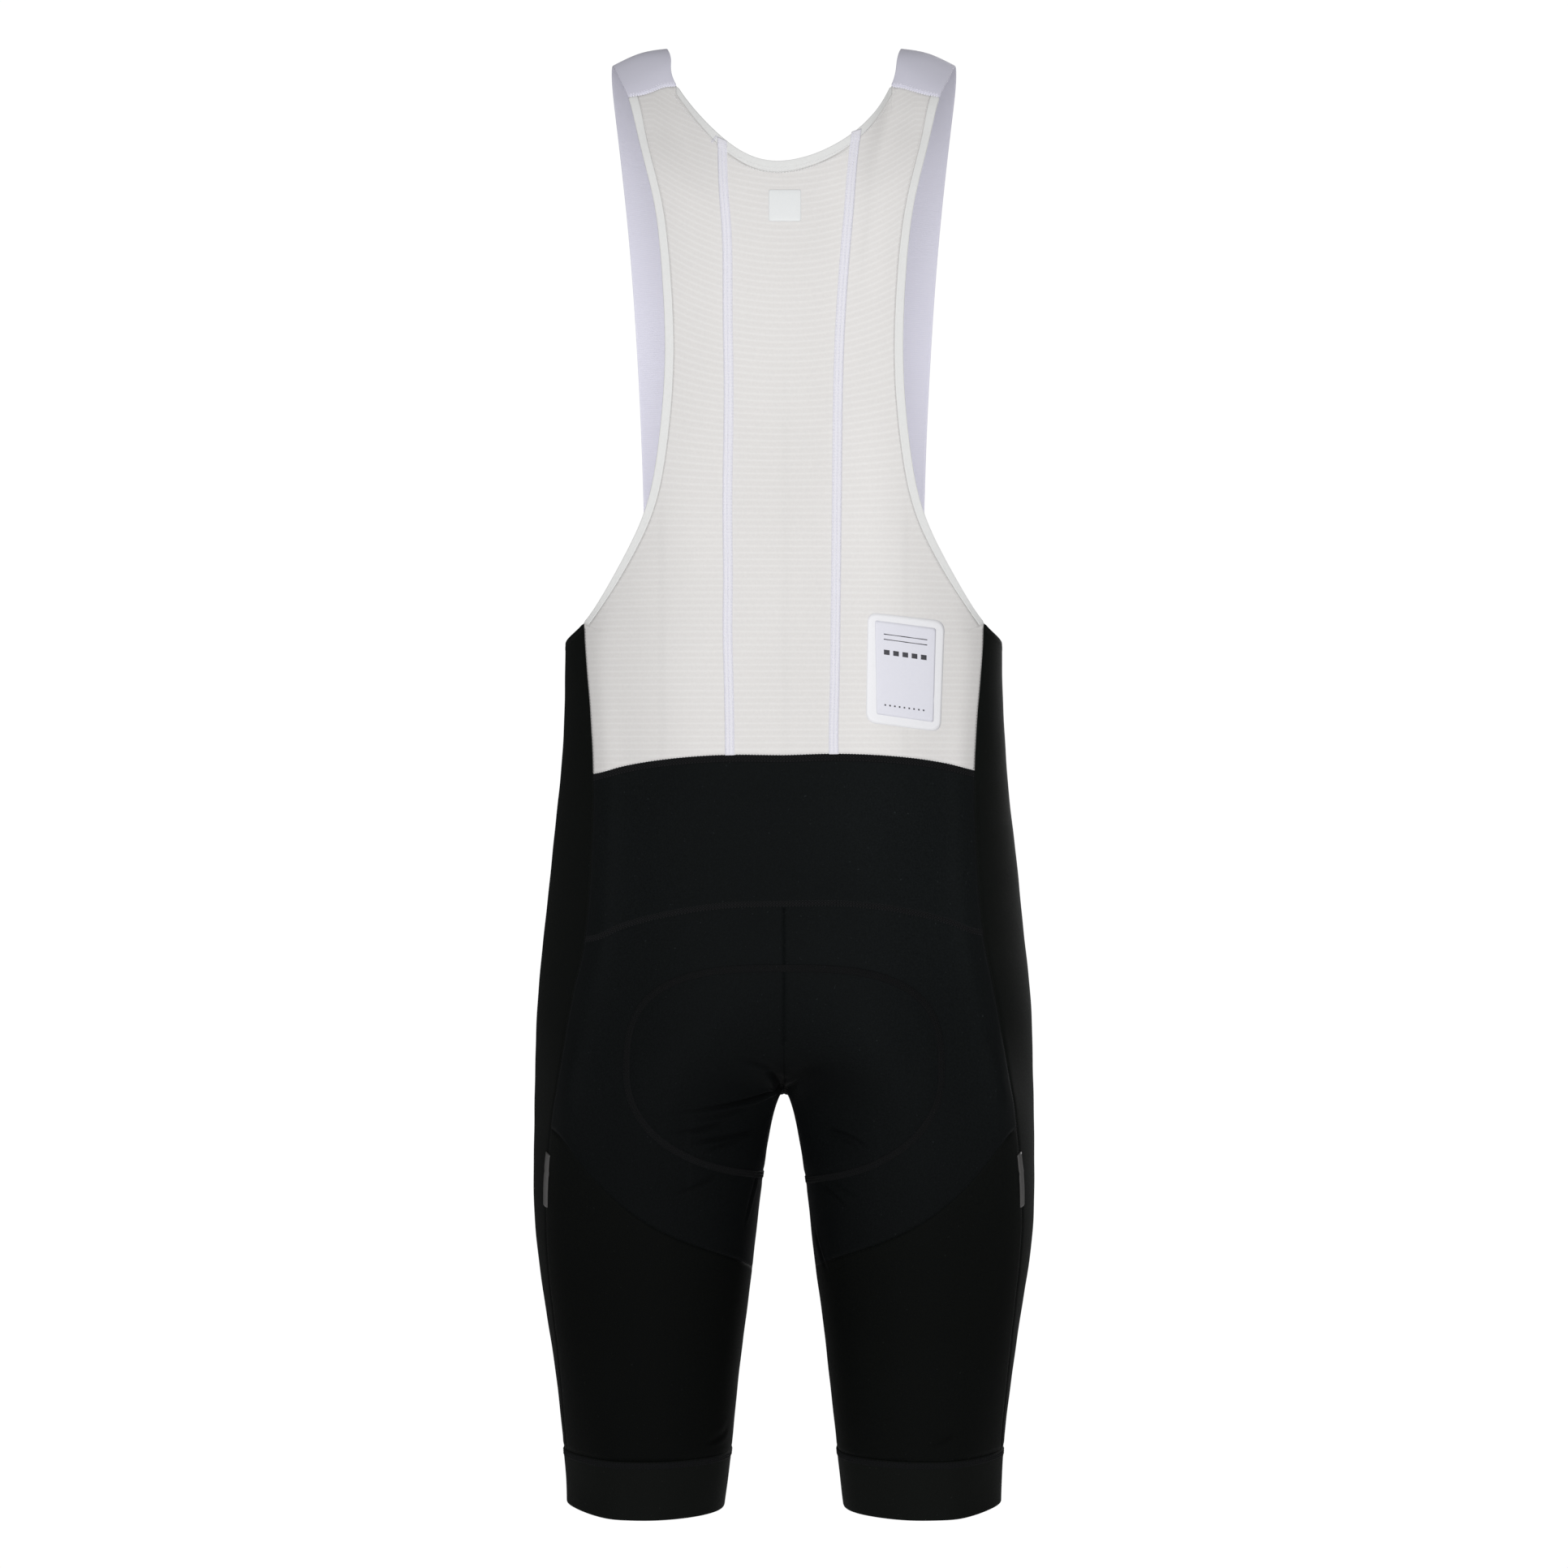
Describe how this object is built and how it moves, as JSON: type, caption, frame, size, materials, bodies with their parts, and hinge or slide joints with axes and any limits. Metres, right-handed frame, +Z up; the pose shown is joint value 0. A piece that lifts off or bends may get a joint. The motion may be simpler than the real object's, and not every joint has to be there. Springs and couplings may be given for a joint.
{
  "type": "thermal bib shorts",
  "caption": "Knee-length thermal cycling bib shorts in their worn, hollow form, with a mesh back, broad elastic straps, a seat pad and gripper bands at the hems.",
  "frame": {"origin": "midway between the undersides of the two straps where they cross the shoulders, where the garment hangs from a wearer", "axes": "+Z up the body, +Y out of the back, +X towards the wearer's left"},
  "size_m": [0.3284, 0.2226, 0.95],
  "materials": {
    "mesh_knit": "matte ribbed mesh knit, warm white",
    "binding_knit": "matte folded knit binding, off-white",
    "elastic": "matte lilac-white elastic",
    "thermal_knit": "matte black brushed thermal knit with a slight sheen",
    "gripper_knit": "matte black fine elastic knit",
    "pad_foam": "soft knit over foam, dark grey",
    "label_film": "thin smooth transfer, pale lilac-white",
    "reflective": "grey reflective tape"
  },
  "bodies": {
    "root": {"mesh_back_center": "mesh_knit", "mesh_back_left": "mesh_knit", "mesh_back_right": "mesh_knit", "neck_binding": "binding_knit", "arm_binding_left": "binding_knit", "arm_binding_right": "binding_knit", "strap_left": "elastic", "strap_right": "elastic", "tape_left": "elastic", "tape_right": "elastic", "yoke": "thermal_knit", "seat_left": "thermal_knit", "seat_right": "thermal_knit", "rear_leg_left": "thermal_knit", "rear_leg_right": "thermal_knit", "front_left": "thermal_knit", "front_right": "thermal_knit", "gripper_left": "gripper_knit", "gripper_right": "gripper_knit", "pad": "pad_foam", "neck_label": "label_film", "back_patch": "label_film", "tab_left": "reflective", "tab_right": "reflective"}
  },
  "joints": []
}
